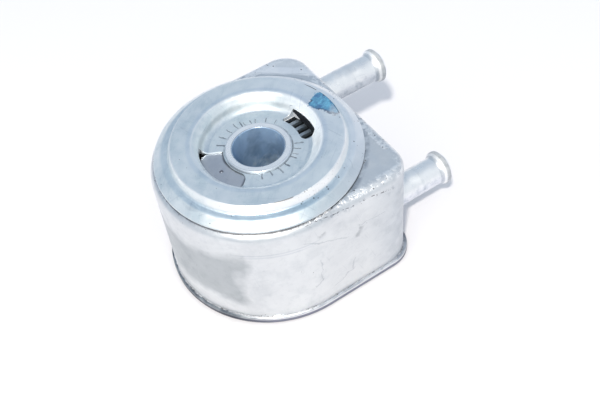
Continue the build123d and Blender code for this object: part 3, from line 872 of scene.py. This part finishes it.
def port_edge(cap, pale, dark):
    """The sheared edge of the open port, which follows the cap's floor and slope."""
    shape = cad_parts["filter_seat_cap"].data
    surface = BVHTree.FromPolygons([corner.co for corner in shape.vertices],
                                   [face.vertices for face in shape.polygons])
    above, down = 0.1, Vector((0, 0, -1))

    def height(radius):
        return surface.ray_cast(Vector((0, radius, above)), down)[0].z

    count, steps = 120, 8
    first, last = PORT_ANGLES
    burr = uneven(Random(31), count, 30)
    loops = []
    flat = []
    for index in range(count):
        turn = radians(first + (last - first) * index / (count - 1))
        reach = PORT_REACH + max(0.0, -degrees(turn)) * 0.00002 + 0.00006 * burr[index]
        if turn > 0:
            reach = min(reach, PORT_FAR_SIDE / sin(turn))
        flat.append(turn > 0 and reach * sin(turn) > PORT_FAR_SIDE - 0.0001)
        rise = height(reach)
        # outwards over the sheet, then back below it and up along the cut, where a burr hangs
        top = [reach + (PORT_CUT - reach) * step / steps for step in range(steps + 1)]
        cross = [(radius, height(radius)) for radius in top]
        bottom = SHEET_UNDERSIDE + 0.00008 * burr[-index]
        burred = reach - 0.0004 if flat[-1] else reach - 0.0001
        cross += [(PORT_CUT, bottom), (reach + 0.0002, bottom), (burred, bottom + 0.0001),
                  (burred, bottom + 0.0004), (reach, bottom + 0.0006), (reach, rise - 0.0003)]
        loops.append([(radius * cos(turn), radius * sin(turn), level) for radius, level in cross])
    mesh = skin("port_edge", loops, ring=False)
    add_piece("port_edge", mesh, cap)
    mesh.materials.append(pale)
    mesh.materials.append(dark)
    # the top keeps the cap's finish, the cut is pale on the flat side and painted black as shade elsewhere
    size = len(loops[0])
    for face in mesh.polygons:
        columns = sorted({corner // size for corner in face.vertices})
        rows = sorted({corner % size for corner in face.vertices})
        if rows[-1] <= steps and len(rows) == 2:
            continue
        far_side = flat[columns[0]] and rows[0] >= steps + 2
        face.material_index = 1 if far_side and rows[-1] - rows[0] == 1 else 2


def grit_tree():
    """Geometry nodes that put small uneven grains on some of the given places."""
    group = bpy.data.node_groups.new("flux grains", "GeometryNodeTree")
    face = group.interface
    face.new_socket("Places", in_out="INPUT", socket_type="NodeSocketGeometry")
    for label, kind, value in (("Share", "NodeSocketFloat", 0.3), ("Smallest", "NodeSocketFloat", 0.0001),
                               ("Largest", "NodeSocketFloat", 0.0003), ("Seed", "NodeSocketInt", 1)):
        face.new_socket(label, in_out="INPUT", socket_type=kind).default_value = value
    face.new_socket("Material", in_out="INPUT", socket_type="NodeSocketMaterial")
    face.new_socket("Grains", in_out="OUTPUT", socket_type="NodeSocketGeometry")
    tree = Tree(group)
    given = tree.add("NodeGroupInput").outputs

    def result(made):
        return next(socket for socket in made.outputs if socket.enabled)

    chosen = tree.add("FunctionNodeRandomValue", {"Probability": given["Share"], "Seed": given["Seed"]},
                      data_type="BOOLEAN")
    size = tree.add("FunctionNodeRandomValue",
                    {"Min": given["Smallest"], "Max": given["Largest"], "Seed": given["Seed"]},
                    data_type="FLOAT")
    shape = tree.add("FunctionNodeRandomValue", {"Min": (0.6, 0.6, 0.4), "Max": (1.5, 1.3, 0.8)},
                     data_type="FLOAT_VECTOR")
    turn = tree.add("FunctionNodeRandomValue", {"Min": (0, 0, 0), "Max": (6.28, 6.28, 6.28)},
                    data_type="FLOAT_VECTOR")

    scale = tree.add("ShaderNodeVectorMath", {"Vector": result(shape), "Scale": result(size)},
                     operation="SCALE")
    grain = tree.add("GeometryNodeMeshIcoSphere", {"Radius": 1.0, "Subdivisions": 2})
    placed = tree.add("GeometryNodeInstanceOnPoints",
                      {"Points": given["Places"], "Selection": result(chosen),
                       "Instance": grain.outputs["Mesh"], "Rotation": result(turn),
                       "Scale": scale.outputs["Vector"]})
    real = tree.add("GeometryNodeRealizeInstances", {"Geometry": placed.outputs["Instances"]})
    dressed = tree.add("GeometryNodeSetMaterial",
                       {"Geometry": real.outputs["Geometry"], "Material": given["Material"]})
    tree.add("NodeGroupOutput", {"Grains": dressed.outputs["Geometry"]})
    return group


def grains(group, name, places, sizes, material):
    """Run the geometry nodes over the places and keep the plain mesh."""
    share, smallest, largest, seed = sizes
    mesh = bpy.data.meshes.new(name)
    mesh.from_pydata(places, [], [])
    holder = bpy.data.objects.new(name + "_places", mesh)
    bpy.context.scene.collection.objects.link(holder)
    modifier = holder.modifiers.new("grains", "NODES")
    modifier.node_group = group
    values = {"Share": share, "Smallest": smallest, "Largest": largest, "Seed": seed, "Material": material}
    for item in group.interface.items_tree:
        if item.in_out == "INPUT" and item.name in values:
            modifier[item.identifier] = values[item.name]
    ready = holder.evaluated_get(bpy.context.evaluated_depsgraph_get())
    made = bpy.data.meshes.new_from_object(ready)
    made.name = name
    holder.modifiers.clear()
    bpy.data.objects.remove(holder)
    made.shade_smooth()
    add_piece(name, made, material)


def foot_places(chance):
    """Places along the seam at the foot of the can."""
    places = []
    for (x, y), (nx, ny) in can_outline(0.0, 0.0007):
        out = abs(chance.gauss(0.00015, 0.00025))
        places.append((x + nx * out, y + ny * out, RIM_TOP + GRAIN_LIFT + abs(chance.gauss(0.0, 0.0002))))
    return places


def cap_places(chance):
    """Places on top of the can, round the edge of the cap."""
    count = 900
    places = []
    for index in range(count):
        turn = 2 * pi * index / count
        out = CAP_EDGE / MM + chance.gauss(0.0003, 0.0003)
        places.append((out * cos(turn), out * sin(turn), CAN_TOP / MM + GRAIN_LIFT))
    return places


def spigot_places(chance):
    """Places on the can's end face, round the feet of the spigots."""
    places = []
    for side, height, _ in (UPPER_SPIGOT, LOWER_SPIGOT):
        for _ in range(90):
            turn = chance.uniform(0, 2 * pi)
            out = SPIGOT_RADIUS + abs(chance.gauss(0.0007, 0.0009))
            places.append((CAN_END + GRAIN_LIFT, side + out * cos(turn), height + out * sin(turn)))
    return places


def put_seams():
    flux = braze_flux()
    burnt = flux_grit()
    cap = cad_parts["filter_seat_cap"].data.materials[0]
    port_edge(cap, sheared_edge(), shaded_edge())
    foot_seam(flux)
    spigot_fillet("upper_spigot_fillet", *UPPER_SPIGOT[:2], flux, 21)
    spigot_fillet("lower_spigot_fillet", *LOWER_SPIGOT[:2], flux, 22)
    group = grit_tree()
    chance = Random(5)
    grains(group, "foot_flux_grains", foot_places(chance), FOOT_GRAINS, burnt)
    grains(group, "cap_flux_grains", cap_places(chance), CAP_GRAINS, burnt)
    grains(group, "spigot_flux_grains", spigot_places(chance), SPIGOT_GRAINS, burnt)


def put_floor():
    half = FLOOR_SIZE / 2
    corners = [(-half, -half, 0), (half, -half, 0), (half, half, 0), (-half, half, 0)]
    mesh = bpy.data.meshes.new("floor")
    mesh.from_pydata(corners, [], [(0, 1, 2, 3)])
    floor = bpy.data.objects.new("floor", mesh)
    bpy.context.scene.collection.objects.link(floor)
    material = bpy.data.materials.new("floor paper")
    material.use_nodes = True
    tree = Tree(material.node_tree)
    shader = tree.nodes["Principled BSDF"]
    shader.inputs["Base Color"].default_value = FLOOR_COLOR
    shader.inputs["Roughness"].default_value = 1.0
    shader.inputs["Specular IOR Level"].default_value = 0.0
    path = tree.add("ShaderNodeLightPath")
    seen = tree.math("MAXIMUM", path.outputs["Is Camera Ray"], path.outputs["Is Glossy Ray"])
    seen = tree.math("MAXIMUM", seen, path.outputs["Is Transmission Ray"])
    glow = tree.add("ShaderNodeEmission", {"Color": COOL_WHITE})
    tree.put(glow.inputs["Strength"], tree.math("MULTIPLY", seen, FLOOR_GLOW))
    both = tree.add("ShaderNodeAddShader")
    tree.links.new(shader.outputs[0], both.inputs[0])
    tree.links.new(glow.outputs[0], both.inputs[1])
    tree.links.new(both.outputs[0], tree.nodes["Material Output"].inputs["Surface"])
    mesh.materials.append(material)


def put_lamp():
    lamp = bpy.data.lights.new("key lamp", "AREA")
    lamp.shape = "DISK"
    lamp.size = KEY_SIZE
    lamp.energy = KEY_POWER
    lamp.color = KEY_COLOR
    made = bpy.data.objects.new("key lamp", lamp)
    made.location = KEY_PLACE
    made.rotation_euler = (Vector(KEY_AIM) - Vector(KEY_PLACE)).to_track_quat("-Z", "Y").to_euler()
    bpy.context.scene.collection.objects.link(made)


def put_sky():
    world = bpy.data.worlds.new("soft room")
    world.use_nodes = True
    bpy.context.scene.world = world
    tree = Tree(world.node_tree)
    way = tree.add("ShaderNodeTexCoord").outputs["Generated"]
    front = tree.add("ShaderNodeVectorMath", operation="DOT_PRODUCT")
    tree.put(front.inputs[0], way)
    tree.put(front.inputs[1], SKY_FRONT)
    back = tree.nodes["Background"]
    share = tree.ramp(front.outputs["Value"], *SKY_TURN)
    tree.put(back.inputs["Color"], tree.mix(share, SKY_FAR, SKY_NEAR))


def put_camera():
    lens = bpy.data.cameras.new("camera")
    lens.lens = CAMERA_LENS
    camera = bpy.data.objects.new("camera", lens)
    camera.location = CAMERA_PLACE
    look = (Vector(CAMERA_AIM) - Vector(CAMERA_PLACE)).to_track_quat("-Z", "Y")
    camera.rotation_euler = (look @ Quaternion((0, 0, 1), radians(CAMERA_ROLL))).to_euler()
    bpy.context.scene.collection.objects.link(camera)
    bpy.context.scene.camera = camera


put_finishes()
put_seams()
put_floor()
put_sky()
put_lamp()
put_camera()
bpy.context.scene.view_settings.view_transform = "Standard"
